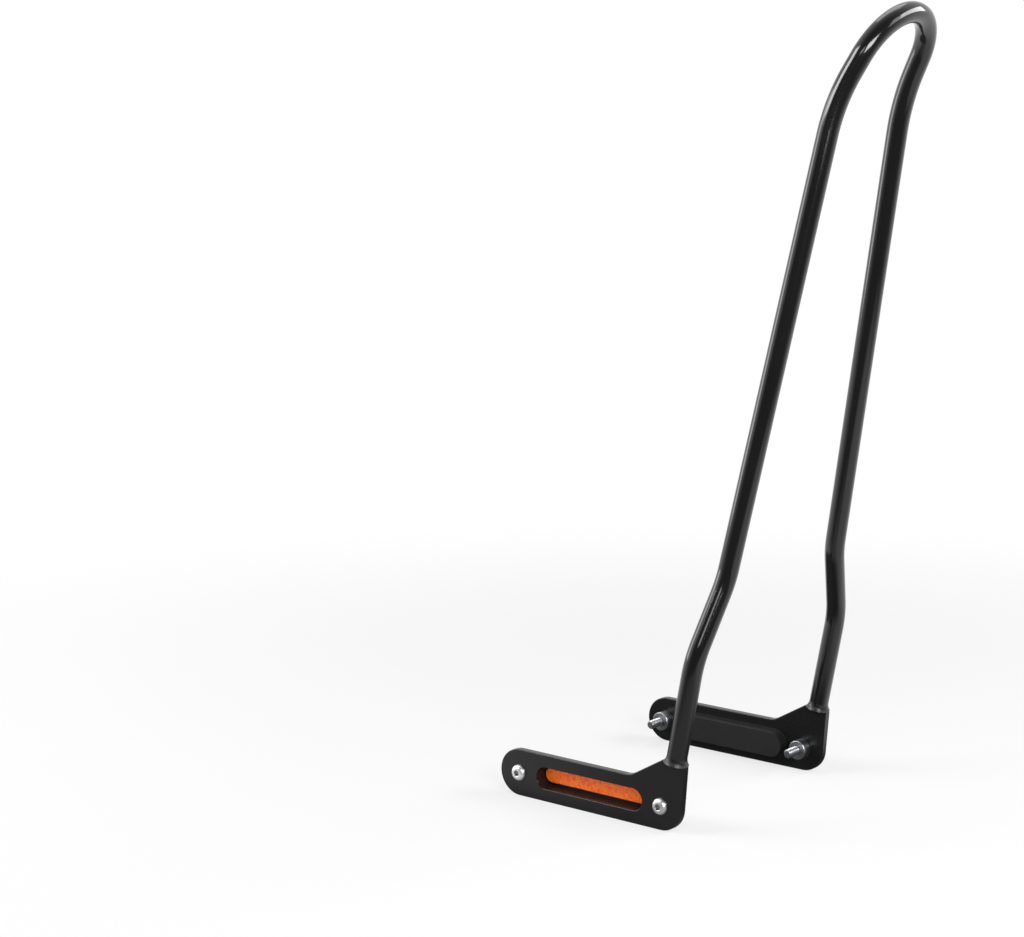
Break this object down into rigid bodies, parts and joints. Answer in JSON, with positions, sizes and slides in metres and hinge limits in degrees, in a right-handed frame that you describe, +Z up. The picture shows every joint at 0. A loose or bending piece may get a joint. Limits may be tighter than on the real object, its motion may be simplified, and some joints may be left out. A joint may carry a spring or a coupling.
{
  "type": "sissy bar",
  "caption": "Tall sissy bar: a leaning tube hoop with a swept-back arch, welded to windowed side plates with reflectors and domed screws.",
  "frame": {"origin": "middle of the bottom of the part's box, on the plane of symmetry, level with the side plates' lower edges", "axes": "+X to the rear of the motorcycle and along the line of the screws, +Y to its right-hand side, +Z up as mounted"},
  "size_m": [0.3854, 0.281, 0.7831],
  "materials": {
    "tube_coat": "semi-gloss black powder coat",
    "plate_coat": "satin black powder coat",
    "screw_chrome": "polished chrome",
    "spacer_zinc": "zinc plated, turned",
    "tray_plastic": "moulded black",
    "lens_orange": "clear orange over prisms"
  },
  "bodies": {
    "root": {"hoop_tube": "tube_coat", "left_front_screw": "screw_chrome", "left_front_spacer": "spacer_zinc", "left_rear_screw": "screw_chrome", "left_rear_spacer": "spacer_zinc", "left_reflector_lens": "lens_orange", "left_reflector_tray": "tray_plastic", "left_side_plate": "plate_coat", "left_weld_bead": "tube_coat", "right_front_screw": "screw_chrome", "right_front_spacer": "spacer_zinc", "right_rear_screw": "screw_chrome", "right_rear_spacer": "spacer_zinc", "right_reflector_lens": "lens_orange", "right_reflector_tray": "tray_plastic", "right_side_plate": "plate_coat", "right_weld_bead": "tube_coat"}
  },
  "joints": []
}
